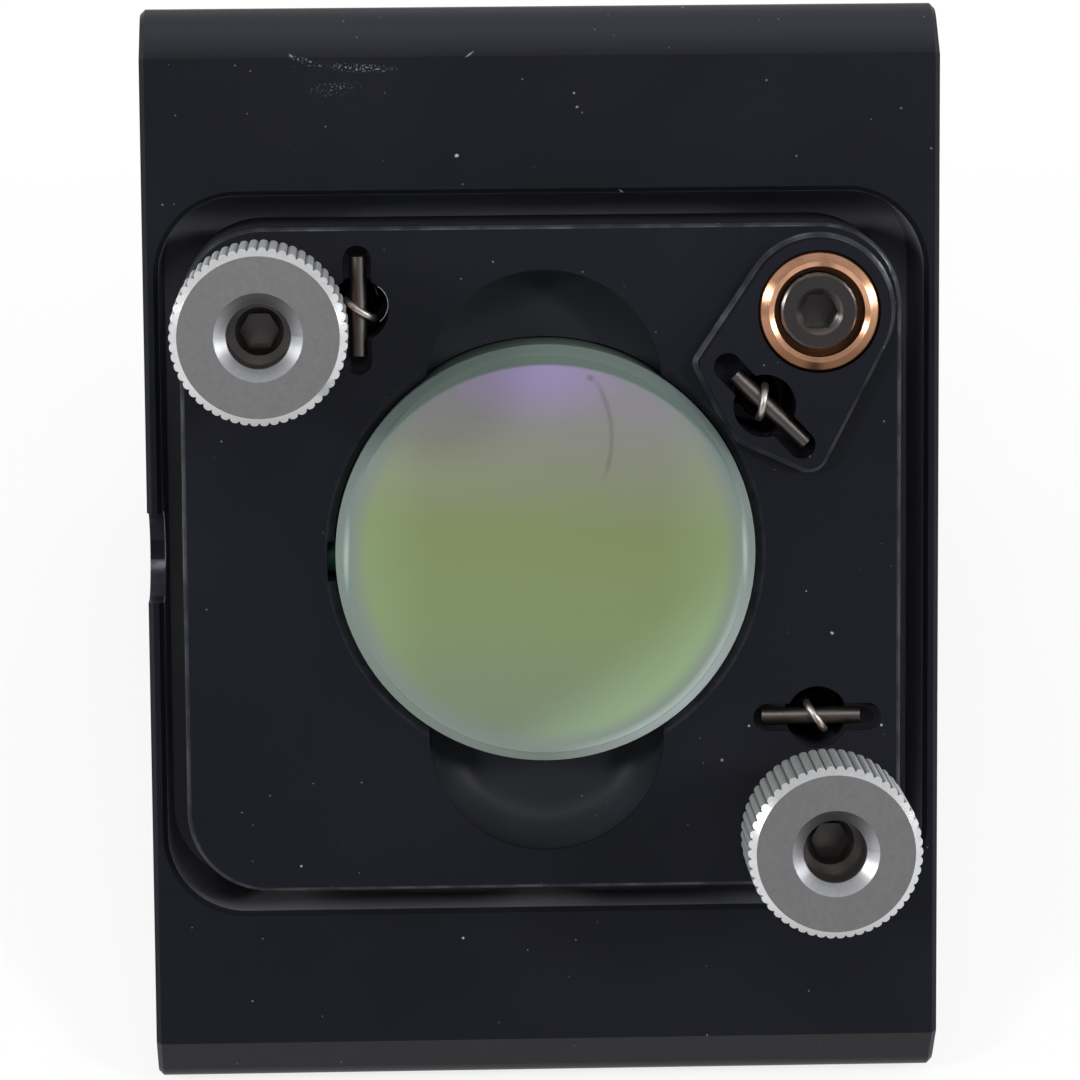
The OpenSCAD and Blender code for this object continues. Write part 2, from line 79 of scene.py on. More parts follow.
# Heights of the housing's rim and of the plate's top in the face frame, in millimetres.
RIM = 3.86
PLATE_TOP = 6.2


# ---- places, from the frame ----

def face_box(node):
    """Lowest and highest corner of a CAD node in the face frame."""
    points = [TO_FACE @ v.co for v in frame["nodes"][node].data.vertices]
    low = Vector(min(p[i] for p in points) for i in range(3))
    high = Vector(max(p[i] for p in points) for i in range(3))
    return low, high


def face_centre(node):
    """Middle of a CAD node in the face frame."""
    low, high = face_box(node)
    return (low + high) / 2


# ---- colours and shader nodes ----

def linear(hex_colour):
    """A hex sRGB colour as the linear RGBA that shader sockets take."""
    channels = [int(hex_colour[i:i + 2], 16) / 255 for i in (1, 3, 5)]
    linear_channels = (
        c / 12.92 if c <= 0.04045 else ((c + 0.055) / 1.055) ** 2.4 for c in channels)
    return (*linear_channels, 1)


def fill(node, *values, **named):
    """Fills a shader node's sockets, in order or by name. A node given as a value is linked by its
    first output, and a text is a hex colour."""
    pairs = list(zip([s for s in node.inputs if s.enabled], values))
    pairs += [(node.inputs[name.replace("_", " ")], value) for name, value in named.items()]
    for socket, value in pairs:
        if isinstance(value, bpy.types.Node):
            value = next(s for s in value.outputs if s.enabled)
        if isinstance(value, bpy.types.NodeSocket):
            node.id_data.links.new(value, socket)
        else:
            socket.default_value = linear(value) if isinstance(value, str) else value


def add(tree, kind, *values, stops=(), **named):
    """Adds a shader node and fills its sockets. A name with a capital letter is a socket, and the
    other names are settings. Stops are a colour ramp's (position, hex colour) pairs."""
    node = tree.nodes.new("ShaderNode" + kind)
    for name, value in named.items():
        if name[0].islower():
            setattr(node, name, value)
    fill(node, *values, **{name: value for name, value in named.items() if name[0].isupper()})
    for i, (position, colour) in enumerate(stops):
        elements = node.color_ramp.elements
        element = elements[i] if i < len(elements) else elements.new(position)
        element.position, element.color = position, linear(colour)
    return node


def new_material(name, **values):
    """A node material and its Principled shader, whose sockets take the values given."""
    material = bpy.data.materials.new(name)
    material.use_nodes = True
    shader = material.node_tree.nodes["Principled BSDF"]
    fill(shader, **values)
    return material, material.node_tree, shader


def face_millimetres(tree, centre=(0, 0, 0)):
    """Object coordinates in the face frame, in millimetres from a centre given in metres."""
    offset = (TO_FACE.translation - Vector(centre)) / MM
    return add(
        tree, "Mapping", add(tree, "TexCoord").outputs["Object"],
        Location=offset, Rotation=TO_FACE.to_3x3().to_euler("XYZ"), Scale=(1 / MM,) * 3)


def axis_distance(tree, place):
    """Distance in millimetres from the w axis through a place's centre."""
    flat = add(tree, "VectorMath", place, (1, 1, 0), operation="MULTIPLY")
    return add(tree, "VectorMath", flat, operation="LENGTH")


def grain_bump(tree, place, size_mm, depth_mm):
    """Bump of an even grain of about the given size."""
    noise = add(tree, "TexNoise", place, Scale=1 / size_mm, Detail=3.0)
    return add(tree, "Bump", Height=noise, Strength=1.0, Distance=depth_mm * MM)


def mark(tree, place, spot, size, turn=0.0, edge=0.5, strength=1.0):
    """A share inside an ellipsoid of the given half sizes in millimetres, fading at its edge."""
    nearby = add(
        tree, "Mapping", place, vector_type="TEXTURE",
        Location=spot, Rotation=(0, 0, math.radians(turn)), Scale=size)
    far = add(tree, "VectorMath", nearby, operation="LENGTH")
    return add(tree, "MapRange", far, edge, 1.0, strength, 0.0)


# ---- materials ----

def black_anodised(name, face_w, marks, low, high, dust_and_fill, edge_tilt, centre=(0, 0, 0)):
    """Black anodised aluminium, bead blasted before the bath: near black with a soft broad sheen
    and an even grain. Lint and nicks show as pale specks, and marks are bare or chalky spots on
    the flat face at height face_w, as (u, v, half length, half width, turn, strength); two of the
    plate's marks are painted highlights. Dust lies in the box between the corners low and high,
    and thinly on level faces, and its pale colour is also painted fill light that lifts the shade
    there. Rounded edges are rubbed smoother and greyer, the raised pad's most of all. They are the
    faces that stand between edge_tilt and nearly square to the w axis, as cosines."""
    finish = bpy.context.scene.mount_finish
    material, tree, shader = new_material(name, IOR=1.5, Specular_IOR_Level=finish.anodised_gloss)
    place = face_millimetres(tree, centre)
    height = add(tree, "SeparateXYZ", place).outputs["Z"]
    normal = add(tree, "NewGeometry").outputs["True Normal"]
    cloud = add(tree, "TexNoise", place, Scale=0.09, Detail=3.0)
    colour = add(tree, "ValToRGB", cloud, stops=(
        (0.3, finish.anodised_dark), (0.7, finish.anodised_light)))
    # In the box no coordinate, counted from its middle in half sizes, is over 1. The half sizes
    # are a trifle larger, so that a face on the box's side counts as in it.
    low, high = Vector(low), Vector(high)
    outside = add(
        tree, "Mapping", place, vector_type="TEXTURE",
        Location=(low + high) / 2, Scale=(high - low) / 2 * 1.001)
    for operation in ("ABSOLUTE", "FLOOR", "LENGTH"):
        outside = add(tree, "VectorMath", outside, operation=operation)
    # The box's pale dust is painted fill light as well.
    deep = add(tree, "Math", outside, 0.5, operation="LESS_THAN")
    # Thin dust and painted light on level faces, fading out towards the 45 degree face; the fade
    # is painted shading of the rounded edge between the two faces.
    upward = add(tree, "SeparateXYZ", normal).outputs["Z"]
    level = add(tree, "Math", upward, 0.9, operation="GREATER_THAN")
    behind = add(tree, "MapRange", height, RIM + 0.04, RIM - 1.46)
    level_tone = add(tree, "Math", level, behind, operation="MULTIPLY")
    # Rubbed edges, patchy, clear of the dusty box and paler on the pad, which stands proud.
    tilt = add(tree, "VectorMath", normal, OUTWARD, operation="DOT_PRODUCT")
    worn = add(tree, "Math", tilt, 0.985, operation="LESS_THAN")
    tilted = add(tree, "Math", tilt, edge_tilt, operation="GREATER_THAN")
    clear = add(tree, "Math", 1.0, deep, operation="SUBTRACT")
    patches = add(tree, "TexNoise", place, Scale=0.5, Detail=3.0)
    patches = add(tree, "MapRange", patches, 0.42, 0.68, 0.2, 1.0)
    for share in (tilted, clear, patches):
        worn = add(tree, "Math", worn, share, operation="MULTIPLY")
    proud = add(tree, "MapRange", height, PLATE_TOP + 0.05, PLATE_TOP + 0.25)
    bare = add(tree, "Mix", proud, finish.worn_edge, finish.worn_pad, data_type="RGBA")
    layers = [(deep, dust_and_fill), (level_tone, finish.thin_dust_and_fill), (worn, bare)]
    # Lint and tiny nicks: the larger cells give a few clear specks, the smaller ones fine dust.
    for scale, reach, picked_above, strength in (
            (0.42, 0.04, 0.72, 0.55), (1.1, 0.075, 0.45, 0.22)):
        cells = add(tree, "TexVoronoi", place, Scale=scale)
        pick = add(tree, "SeparateColor", cells.outputs["Color"])
        size = add(tree, "Math", pick.outputs["Red"], reach, operation="MULTIPLY")
        speck = add(tree, "Math", cells.outputs["Distance"], size, operation="LESS_THAN")
        rare = add(tree, "Math", pick.outputs["Green"], picked_above, operation="GREATER_THAN")
        share = add(tree, "Math", speck, rare, operation="MULTIPLY")
        share = add(tree, "Math", share, strength, operation="MULTIPLY")
        layers.append((share, finish.lint))
    # Marks; on the plate two of them are painted highlights. The long ones are scuffs, broken up
    # into crumbs.
    crumbs = add(tree, "TexNoise", place, Scale=8.0, Detail=2.0)
    crumbs = add(tree, "MapRange", crumbs, 0.56, 0.68)
    for u, v, half_length, half_width, turn, strength in marks:
        share = mark(
            tree, place, (u, v, face_w), (half_length, half_width, 0.8), turn, 0.2, strength)
        if half_length > 1:
            share = add(tree, "Math", share, crumbs, operation="MULTIPLY")
        layers.append((share, finish.lint))
    for share, over in layers:
        colour = add(tree, "Mix", share, colour, over, data_type="RGBA")
    metal = add(tree, "Math", worn, 0.9, operation="MULTIPLY")
    sheen = add(tree, "Math", worn, -0.12, finish.anodised_roughness, operation="MULTIPLY_ADD")
    grain = grain_bump(tree, place, 0.16, 0.005)
    fill(shader, Base_Color=colour, Metallic=metal, Roughness=sheen, Normal=grain)
    return material


def coated_glass():
    """A glass disc, polished, with its coating on the far face. What shows through the near face is
    painted: green and violet interference colours in reflected and transmitted light, ringed by a
    painted image of the side wall with painted glints, a painted shade under the upper rim, and the
    bevel's painted light and shade."""
    finish = bpy.context.scene.mount_finish
    low, high = face_box("mirror")
    radius = (high.x - low.x) / 2 / MM
    near = (high.z - low.z) / 2 / MM
    material, tree, shader = new_material("coated_glass", IOR=1.46)
    place = face_millimetres(tree, (low + high) / 2)
    apart = add(tree, "SeparateXYZ", place)
    u, v, w = (apart.outputs[axis] for axis in "XYZ")
    r = axis_distance(tree, place)
    turn = add(tree, "Math", v, u, operation="ARCTAN2")
    turn = add(tree, "MapRange", turn, -math.pi, math.pi)
    # The interior, painted reflected and transmitted light, from the lower edge up: sage, olive
    # green, grey, violet.
    height = add(tree, "VectorMath", place, (0.06, 1, 0), operation="DOT_PRODUCT")
    height = add(tree, "MapRange", height, -12.0, 12.0)
    colour = add(tree, "ValToRGB", height, stops=(
        (0.04, finish.glass_sage), (0.33, finish.glass_olive), (0.56, finish.glass_green),
        (0.76, finish.glass_grey), (0.92, finish.glass_mauve)))
    # Greener towards the lower right, and towards the rim left and right.
    corner = add(tree, "VectorMath", place, (0.6, -0.8, 0), operation="DOT_PRODUCT")
    corner = add(
        tree, "MapRange", corner, 6.5, 11.5, 0.0, 0.75, interpolation_type="SMOOTHSTEP")
    beside = add(tree, "Math", u, operation="ABSOLUTE")
    beside = add(tree, "MapRange", beside, 7.0, 11.0, 0.0, 0.3)
    violet = mark(tree, place, (-0.4, 11.8, near), (6.0, 4.0, 9.0), edge=0.1, strength=0.85)
    # A fine hair of a scratch: an arc that runs down from the violet patch, and a pit by its top.
    arc = add(tree, "VectorMath", place, (-2.7, 7.1, 0), operation="SUBTRACT")
    arc = add(tree, "Math", axis_distance(tree, arc), 6.7, operation="SUBTRACT")
    arc = add(tree, "Math", arc, operation="ABSOLUTE")
    arc = add(tree, "MapRange", arc, 0.02, 0.22, 0.4, 0.0)
    along = mark(tree, place, (3.6, 7.6, near), (1.6, 3.6, 2.0), edge=0.6)
    arc = add(tree, "Math", arc, along, operation="MULTIPLY")
    pit = mark(tree, place, (2.75, 10.7, near), (0.36, 0.26, 2.0), -20, edge=0.1, strength=0.6)
    scratch = add(tree, "Math", arc, pit, operation="MAXIMUM")
    # A soft ring where the coating ends, then a painted image of the far half of the side wall as a
    # pale band, brighter at the lower right and shaded at the top.
    upper = add(tree, "MapRange", v, 6.0, 10.5, 0.7, 0.1)
    ring = add(tree, "MapRange", r, 10.7, 11.7, interpolation_type="SMOOTHSTEP")
    ring = add(tree, "Math", ring, upper, operation="MULTIPLY")
    wall = add(tree, "ValToRGB", turn, stops=(
        (0.0, finish.wall_left), (0.17, finish.wall_low), (0.25, finish.wall_low),
        (0.33, finish.wall_bright), (0.42, finish.wall_bright), (0.5, finish.wall_right),
        (0.75, finish.crescent), (0.92, finish.wall_right), (1.0, finish.wall_left)))
    band = add(tree, "MapRange", r, 11.6, 12.0, interpolation_type="SMOOTHSTEP")
    # Painted glints: pale crescents left and right inside the rim.
    left, right = (
        mark(tree, place, (side * 12.15, -0.6, near), (0.3, 5.2, 2.0), 2.0 * side, 0.1, 0.8)
        for side in (-1, 1))
    # The upper crescent is painted: the near rim's image, darker, stands lower on the disc and cuts
    # the interior off.
    lower = add(tree, "VectorMath", place, (0, 1.25, 0), operation="ADD")
    crescent = add(tree, "MapRange", axis_distance(tree, lower), 12.68, 12.84)
    # The bevel round the near rim, ground matt, with a painted highlight at the lower right and
    # painted shade at the top.
    bevel = add(tree, "ValToRGB", turn, stops=(
        (0.0, finish.wall_left), (0.25, finish.wall_low), (0.37, finish.bevel_light),
        (0.5, finish.wall_left), (0.62, finish.bevel_dark), (0.72, finish.crescent),
        (0.8, finish.crescent), (0.9, finish.bevel_dark), (1.0, finish.wall_left)))
    edge = add(tree, "MapRange", r, radius - 0.72, radius - 0.42)
    ground = add(tree, "MapRange", r, radius - 0.62, radius - 0.4, 0.07, 0.5)
    # The far face is the mirror proper.
    far = add(tree, "Math", w, 0.02 - near, operation="LESS_THAN")
    for share, over in (
            (corner, finish.glass_mint), (beside, finish.glass_mint),
            (violet, finish.glass_violet), (scratch, finish.scratch), (ring, finish.glass_ring),
            (band, wall), (left, finish.wall_glint), (right, finish.wall_glint),
            (crescent, finish.crescent), (edge, bevel), (far, finish.mirror_face)):
        colour = add(tree, "Mix", share, colour, over, data_type="RGBA")
    fill(shader, Base_Color=colour, Roughness=ground, Metallic=far)
    return material


def turned_metal(name, node, colour, roughness, groove_mm, slope):
    """A metal turned in a lathe: fine rings round the piece's axis of about the given width and
    slope, which pull a highlight out along the radius."""
    material, tree, shader = new_material(
        name, Base_Color=colour, Metallic=1.0, Roughness=roughness)
    place = face_millimetres(tree, face_centre(node))
    r = axis_distance(tree, place)
    rings = add(tree, "TexNoise", W=r, Scale=1 / groove_mm, Detail=2.0, noise_dimensions="1D")
    fill(shader, Normal=add(tree, "Bump", Height=rings, Distance=groove_mm * slope * MM))
    return material, tree, shader, place, r


def turned_bronze(node):
    """Turned phosphor bronze: a coppery satin ring with painted shade on its lower half, and a bore
    stained brown in its depth."""
    finish = bpy.context.scene.mount_finish
    bushing = bpy.context.scene.mount_bushings
    material, tree, shader, place, r = turned_metal(
        f"turned_bronze_{node}", node, finish.bronze, finish.bronze_roughness, 0.06, 0.12)
    top = (face_box(node)[1].z - face_centre(node).z) / MM
    counterbore = bushing.counterbore / MM
    apart = add(tree, "SeparateXYZ", place)
    depth = add(tree, "MapRange", apart.outputs["Z"], top - 0.9, top - 0.2, 1.0, 0.0)
    inside = add(tree, "MapRange", r, counterbore + 0.02, counterbore + 0.1, 1.0, 0.0)
    depth = add(tree, "Math", depth, inside, operation="MULTIPLY")
    tarnish = add(tree, "TexNoise", place, Scale=0.9, Detail=3.0)
    tarnish = add(tree, "MapRange", tarnish, 0.42, 0.75, 0.0, 0.35)
    # Painted shade: the flange goes darker towards its lower half, in the stain colour.
    lower = add(tree, "MapRange", apart.outputs["Y"], -2.6, 1.0, 0.9, 0.0)
    outer = add(tree, "Math", r, bushing.mouth / MM, operation="GREATER_THAN")
    lower = add(tree, "Math", lower, outer, operation="MULTIPLY")
    share = add(tree, "Math", depth, tarnish, operation="MAXIMUM")
    share = add(tree, "Math", share, lower, operation="MAXIMUM")
    colour = add(tree, "Mix", share, finish.bronze, finish.bronze_stain_and_shade, data_type="RGBA")
    fill(shader, Base_Color=colour)
    return material


def knob_aluminium(node):
    """Clear anodised aluminium: a satin turned face, chamfers cut bright after the knurl, and
    knurled sides gone chalky with the anodic layer."""
    finish = bpy.context.scene.mount_finish
    material, tree, shader, place, r = turned_metal(
        f"knob_aluminium_{node[-1]}", node, finish.knob_face, finish.knob_roughness, 0.05, 0.05)
    normal = add(tree, "NewGeometry").outputs["True Normal"]
    tilt = add(tree, "VectorMath", normal, OUTWARD, operation="DOT_PRODUCT")
    tilt = add(tree, "Math", tilt, operation="ABSOLUTE")
    face = add(tree, "Math", tilt, 0.95, operation="GREATER_THAN")
    cut = add(tree, "Math", tilt, 0.3, operation="GREATER_THAN")
    low, high = face_box(node)
    rim = (high.x - low.x) / 2 / MM
    # The knurl darkens towards the roots of its teeth.
    groove = add(tree, "MapRange", r, rim - 0.24, rim - 0.04, 0.75, 0.0)
    side = add(tree, "Mix", groove, finish.knob_side, finish.grime_and_shade, data_type="RGBA")
    mouth = add(tree, "Math", r, rim / 2, operation="GREATER_THAN")
    bright = add(tree, "Mix", mouth, finish.knob_cone, finish.knob_bright, data_type="RGBA")
    colour = add(tree, "Mix", cut, side, bright, data_type="RGBA")
    colour = add(tree, "Mix", face, colour, finish.knob_face, data_type="RGBA")
    # Handling dirt, thin on the face; darker in the bore; and painted shade in the mouth's upper
    # half and on the outer chamfer's lower half.
    dirt_and_shade = add(tree, "TexNoise", place, Scale=3.5, Detail=5.0)
    dirt_and_shade = add(tree, "MapRange", dirt_and_shade, 0.35, 0.8, 0.0, 0.14)
    bore = add(tree, "MapRange", r, 1.85, 1.95, 0.5, 0.0)
    height = add(tree, "SeparateXYZ", place).outputs["Y"]
    above = add(tree, "MapRange", height, 0.2, 2.3, 0.0, 0.75)
    above = add(tree, "Mix", mouth, above, 0.0, data_type="FLOAT")
    below = add(tree, "MapRange", height, -5.0, -2.5, 0.35, 0.0)
    below = add(tree, "Mix", face, below, 0.0, data_type="FLOAT")
    for share in (bore, above, below):
        dirt_and_shade = add(tree, "Math", dirt_and_shade, share, operation="MAXIMUM")
    colour = add(tree, "Mix", dirt_and_shade, colour, finish.grime_and_shade, data_type="RGBA")
    sheen = add(tree, "Mix", mouth, 0.34, 0.22, data_type="FLOAT")
    sheen = add(tree, "Mix", face, sheen, finish.knob_roughness, data_type="FLOAT")
    sheen = add(tree, "Mix", cut, 0.5, sheen, data_type="FLOAT")
    metal = add(tree, "Math", cut, 0.25, 0.75, operation="MULTIPLY_ADD")
    fill(shader, Base_Color=colour, Roughness=sheen, Metallic=metal)
    return material


def plain_metal(name, colour, roughness, grain_mm=0.3, depth_mm=0.001):
    """Ground or drawn steel: a sheen that varies a little over a faint grain."""
    material, tree, shader = new_material(name, Base_Color=colour, Metallic=1.0)
    place = face_millimetres(tree)
    cloud = add(tree, "TexNoise", place, Scale=0.8, Detail=3.0)
    spread = add(tree, "MapRange", cloud, 0.0, 1.0, roughness * 0.8, roughness * 1.2)
    fill(shader, Roughness=spread, Normal=grain_bump(tree, place, grain_mm, depth_mm))
    return material


def spring_wire(node):
    """Drawn stainless wire: pale at the hook, where the pin rubs it, and darker lower down the
    coil.
    """
    finish = bpy.context.scene.mount_finish
    material, tree, shader = new_material(f"drawn_wire_{node}", Metallic=1.0, Roughness=0.42)
    top = face_box(node)[1].z / MM
    place = face_millimetres(tree)
    w = add(tree, "SeparateXYZ", place).outputs["Z"]
    share = add(tree, "MapRange", w, top - 1.9, top - 1.2)
    colour = add(tree, "Mix", share, finish.wire_below, finish.wire_steel, data_type="RGBA")
    fill(shader, Base_Color=colour, Normal=grain_bump(tree, place, 0.1, 0.001))
    return material


def moulded_nylon():
    """Moulded nylon: a soft, slightly waxy plastic."""
    material, tree, shader = new_material(
        "moulded_nylon", Base_Color=bpy.context.scene.mount_finish.nylon, Roughness=0.45, IOR=1.53)
    fill(shader, Normal=grain_bump(tree, face_millimetres(tree), 0.25, 0.003))
    return material


def finish_nodes(material, *nodes):
    """Gives CAD nodes their material."""
    for node in nodes:
        slots = frame["nodes"][node].material_slots
        if not slots:
            raise RuntimeError(f"{node} has no material slot")
        for slot in slots:
            slot.material = material


# ---- meshes ----

def new_piece(name, bm, material, body=None, replaces=()):
    """Makes a closed, outward-facing piece from a bmesh given in the row frame."""
    bmesh.ops.holes_fill(bm, edges=[e for e in bm.edges if e.is_boundary], sides=0)
    bmesh.ops.recalc_face_normals(bm, faces=bm.faces)
    for face in bm.faces:
        face.smooth = True
    mesh = bpy.data.meshes.new(name)
    bm.to_mesh(mesh)
    bm.free()
    if "custom_normal" in mesh.attributes:
        mesh.attributes.remove(mesh.attributes["custom_normal"])
    mesh.materials.append(material)
    mesh.set_sharp_from_angle(angle=math.radians(40))
    piece = bpy.data.objects.new(name, mesh)
    bpy.context.scene.collection.objects.link(piece)
    if body:
        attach(piece, body)
    if replaces:
        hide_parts(*replaces)
    return piece


def spun(bm, loop, angle, steps, axis=(0, 0, 1), centre=(0, 0, 0), rise=0.0, along=(0, 0, 1)):
    """Spins an open loop of edges and returns its last copy. A rise makes a helix of it."""
    result = bmesh.ops.spin(
        bm, geom=loop, cent=centre, axis=axis, dvec=Vector(along) * (rise / steps),
        angle=angle, steps=steps, use_merge=False, use_normal_flip=False, use_duplicate=False)
    return result["geom_last"]


def thread_ridge(bm, matrix, wall, crest, pitch, low, high, segments):
    """A right-handed ridge with 60 degree flanks on a bore's wall, or on a shaft if the crest is
    the wider one, between two heights of the local axis."""
    flank = abs(wall - crest) * math.tan(math.radians(30))
    flat = pitch / 16
    root = wall + 0.02 * MM * (1 if wall > crest else -1)
    section = [(root, -flat - flank), (crest, -flat), (crest, flat), (root, flat + flank)]
    corners = [bm.verts.new(matrix @ Vector((x, 0, low + pitch / 2 + z))) for x, z in section]
    loop = corners + [bm.edges.new((corners[i - 1], corners[i])) for i in range(4)]
    axis = (matrix.to_3x3() @ Vector((0, 0, 1))).normalized()
    turns = (high - low) / pitch - 1
    spun(bm, loop, 2 * math.pi * turns, round(turns * segments), axis=axis,
         centre=matrix.translation, rise=turns * pitch, along=axis)


def hook(bm, ring, end, travel, onward, outward, bend, reach, radius):
    """Bends the wire at a coil's end into the spring's direction and curls it over the axis."""
    ring = spun(bm, ring, math.pi / 2, 6, axis=travel.cross(onward), centre=end + bend * onward)
    ring = spun(bm, ring, 0.0, 1, rise=reach, along=onward)
    far = end + bend * travel + (bend + reach) * onward
    spun(bm, ring, math.radians(240), 20,
         axis=onward.cross(-outward), centre=far - radius * outward)


# ---- settings ----

def tint(name, description, default):
    """A hex colour that a user can change."""
    return bpy.props.StringProperty(name=name, description=description, default=default)


def number(name, description, default, **options):
    """A number that a user can change."""
    return bpy.props.FloatProperty(name=name, description=description, default=default, **options)


def ratio(name, description, default):
    """A share from 0 to 1 that a user can change."""
    return number(name, description, default, min=0.0, max=1.0, subtype="FACTOR")


def length(name, description, millimetres):
    """A length that a user can change."""
    return number(name, description, millimetres * MM, min=0.0, unit="LENGTH", precision=5)


def angle(name, description, degrees):
    """An angle that a user can change."""
    return number(name, description, math.radians(degrees), unit="ROTATION")


class MountFinish(bpy.types.PropertyGroup):
    """Colours and sheens of the mount's surfaces."""
    anodised_dark: tint("Anodised, dark", "Deepest tone of the black anodised parts", "#14151a")
    anodised_light: tint("Anodised, light", "Lightest tone of the black anodised parts", "#18191f")
    anodised_roughness: ratio("Anodised roughness", "Roughness of the black anodised parts", 0.42)
    anodised_gloss: ratio("Anodised gloss", "Specular level of the black anodised parts", 0.1)
    worn_edge: tint("Worn edge", "Rounded edges rubbed by handling", "#46474c")
    worn_pad: tint("Worn pad edge", "Rounded edge of the raised pad, rubbed the most", "#6c6d72")
    # This colour also paints two highlights among the plate's marks.
    lint: tint("Lint", "Specks of lint and bare metal on the black parts", "#b9bcc2")
    # Pale enough to be painted fill light as well, lifting the shade in the gaps round the plate.
    dust_and_fill: tint("Dust", "Dust deep in the recess round the plate", "#77787d")
    # Also painted fill light in the plate's shaded scallops, slots and wells, and on level faces.
    thin_dust_and_fill: tint("Thin dust", "Dust on top, and in the plate's scallops and slots", "#2b2c31")
    # Glass, wall, crescent and bevel colours are painted light; scratch and mirror face are its
    # own.
    glass_sage: tint("Glass sage", "Mirror's back at its lower edge", "#6e7a68")
    glass_olive: tint("Glass olive", "Mirror's back, lower half", "#73825a")
    glass_green: tint("Glass green", "Mirror's back, middle", "#737f56")
    glass_grey: tint("Glass grey", "Mirror's back, upper half", "#7c7e70")
    glass_mauve: tint("Glass mauve", "Mirror's back towards the top", "#7f7b84")
    glass_violet: tint("Glass violet", "Violet patch at the mirror's top", "#9280ac")
    glass_mint: tint("Glass mint", "Green towards the mirror's lower right", "#88a17c")
    glass_ring: tint("Glass ring", "Ring where the coating ends", "#747b7a")
    scratch: tint("Scratch", "Fine scratch in the mirror's coating", "#55504e")
    wall_left: tint("Wall, left", "Side wall through the glass, left", "#6f7d76")
    wall_low: tint("Wall, low", "Side wall through the glass, bottom", "#747d76")
    wall_bright: tint("Wall, bright", "Side wall through the glass, lower right", "#939f9a")
    wall_right: tint("Wall, right", "Side wall through the glass, right", "#74827b")
    wall_glint: tint("Wall glint", "Pale crescents left and right in the glass", "#b4c4bf")
    crescent: tint("Crescent", "Teal crescent under the mirror's upper rim", "#58665f")
    bevel_dark: tint("Bevel, dark", "Mirror's bevel at the top", "#56625f")
    bevel_light: tint("Bevel, light", "Mirror's bevel at the lower right", "#a6b0ad")
    mirror_face: tint("Mirror face", "Reflecting face of the mirror", "#c9cfd6")
    knob_face: tint("Knob face", "Satin face of the knobs", "#cbcac8")
    knob_bright: tint("Knob bright cut", "Bright chamfers of the knobs", "#d2d3d4")
    knob_cone: tint("Knob mouth", "Countersink at the mouth of a knob's bore", "#bcbec1")
    knob_side: tint("Knob side", "Chalky knurl of the knobs", "#b9bbbe")
    knob_roughness: ratio("Knob roughness", "Roughness of the knobs' satin faces", 0.3)
    # Also painted shade in the knobs' mouths and on their outer chamfers.
    grime_and_shade: tint("Grime", "Handling dirt on the knobs", "#3b332c")
    bronze: tint("Bronze", "Turned phosphor bronze bushings", "#d49f80")
    # Also paints the shade on the bushings' lower halves.
    bronze_stain_and_shade: tint("Bronze stain", "Tarnish in the bushings' bores and below", "#6d4c36")
    bronze_roughness: ratio("Bronze roughness", "Roughness of the bushings", 0.2)
    # Painted lighter than the pivot steel, to lift the shade in the knobs' bores.
    screw_steel: tint("Screw steel", "Fine screws in the knobs", "#807b77")
    pivot_steel: tint("Pivot steel", "Pivot screw", "#6b6764")
    wire_steel: tint("Wire steel", "Spring wire at the hooks", "#b4afa9")
    # Darker steel for the coil below the hooks.
    wire_below: tint("Wire grime", "Old oil on the coils below the hooks", "#1b1918")
    pin_steel: tint("Pin steel", "Dowel pins", "#625d5a")
    hard_steel: tint("Hardened steel", "Balls and seats", "#c4c4c6")
    black_steel: tint("Blackened steel", "The mirror's lock screw", "#3a3736")
    nylon: tint("Nylon", "Tip of the mirror's lock screw", "#3f7466")
    fibre: tint("Fibre", "Fibre of lint caught beside a slot", "#9a9da3")


class MountStage(bpy.types.PropertyGroup):
    """Camera and light."""
    distance: number(
        "Camera distance", "From the camera to the crossing of the port axes", 0.3063,
        min=0.1, max=2.0, unit="LENGTH")
    lens: number("Lens", "Focal length on a 36 mm sensor", 165.27, min=20, max=400)
    tilt: angle("Tilt", "How far above the face's normal the camera stands", 8.108)
    swing: angle("Swing", "How far beside the face's normal the camera stands", 1.922)
    roll: angle("Roll", "Turn of the picture", 0.694)
    side_power: number("Side power", "Power of each side softbox in watts", 1.1, min=0)
    top_power: number("Overhead power", "Power of the softbox overhead in watts", 0.8, min=0)
    edge_power: number("Edge power", "Power of each low side light in watts", 0.9, min=0)


class MountSprings(bpy.types.PropertyGroup):
    """Extension springs between plate and housing."""
    wire: length("Wire", "Wire diameter", 0.45)
    coil: length("Coil", "Mean radius of the coil and hooks", 0.98)
    bend: length("Bend", "Radius of the bend between coil and hook", 0.35)
    lead: length("Lead", "Gap between the coil's end and the hook's circle", 0.35)
    turns: bpy.props.IntProperty(
        name="Turns", description="Whole turns between the hooks", default=12, min=3)


class MountBushings(bpy.types.PropertyGroup):
    """Bronze bushings of the three screws."""
    body: length("Body", "Radius of the body in the plate", 3.0)
    bore: length("Bore", "Radius of the screw's bore", 2.34)
    counterbore: length("Counterbore", "Radius of the counterbore", 2.74)
    depth: length("Depth", "Depth of the counterbore", 1.6)
    mouth: length("Mouth", "Radius where the bevels of flange and counterbore meet", 3.04)
    flange: length("Flange", "Height of the flange over the plate", 1.49)


class MountThreads(bpy.types.PropertyGroup):
    """Screw threads."""
    adjuster_pitch: length("Adjuster pitch", "Travel of a fine screw in one turn", 0.254)
    adjuster_depth: length("Adjuster depth", "Height of the fine screws' ridges", 0.15)
    port_pitch: length("Port pitch", "Pitch of the port and rod hole threads", 0.635)
    port_depth: length("Port depth", "Height of the port and rod hole ridges", 0.28)
    post_pitch: length("Post pitch", "Pitch of the post holes", 0.794)
    post_depth: length("Post depth", "Height of the post holes' ridges", 0.35)


# ---- operators ----

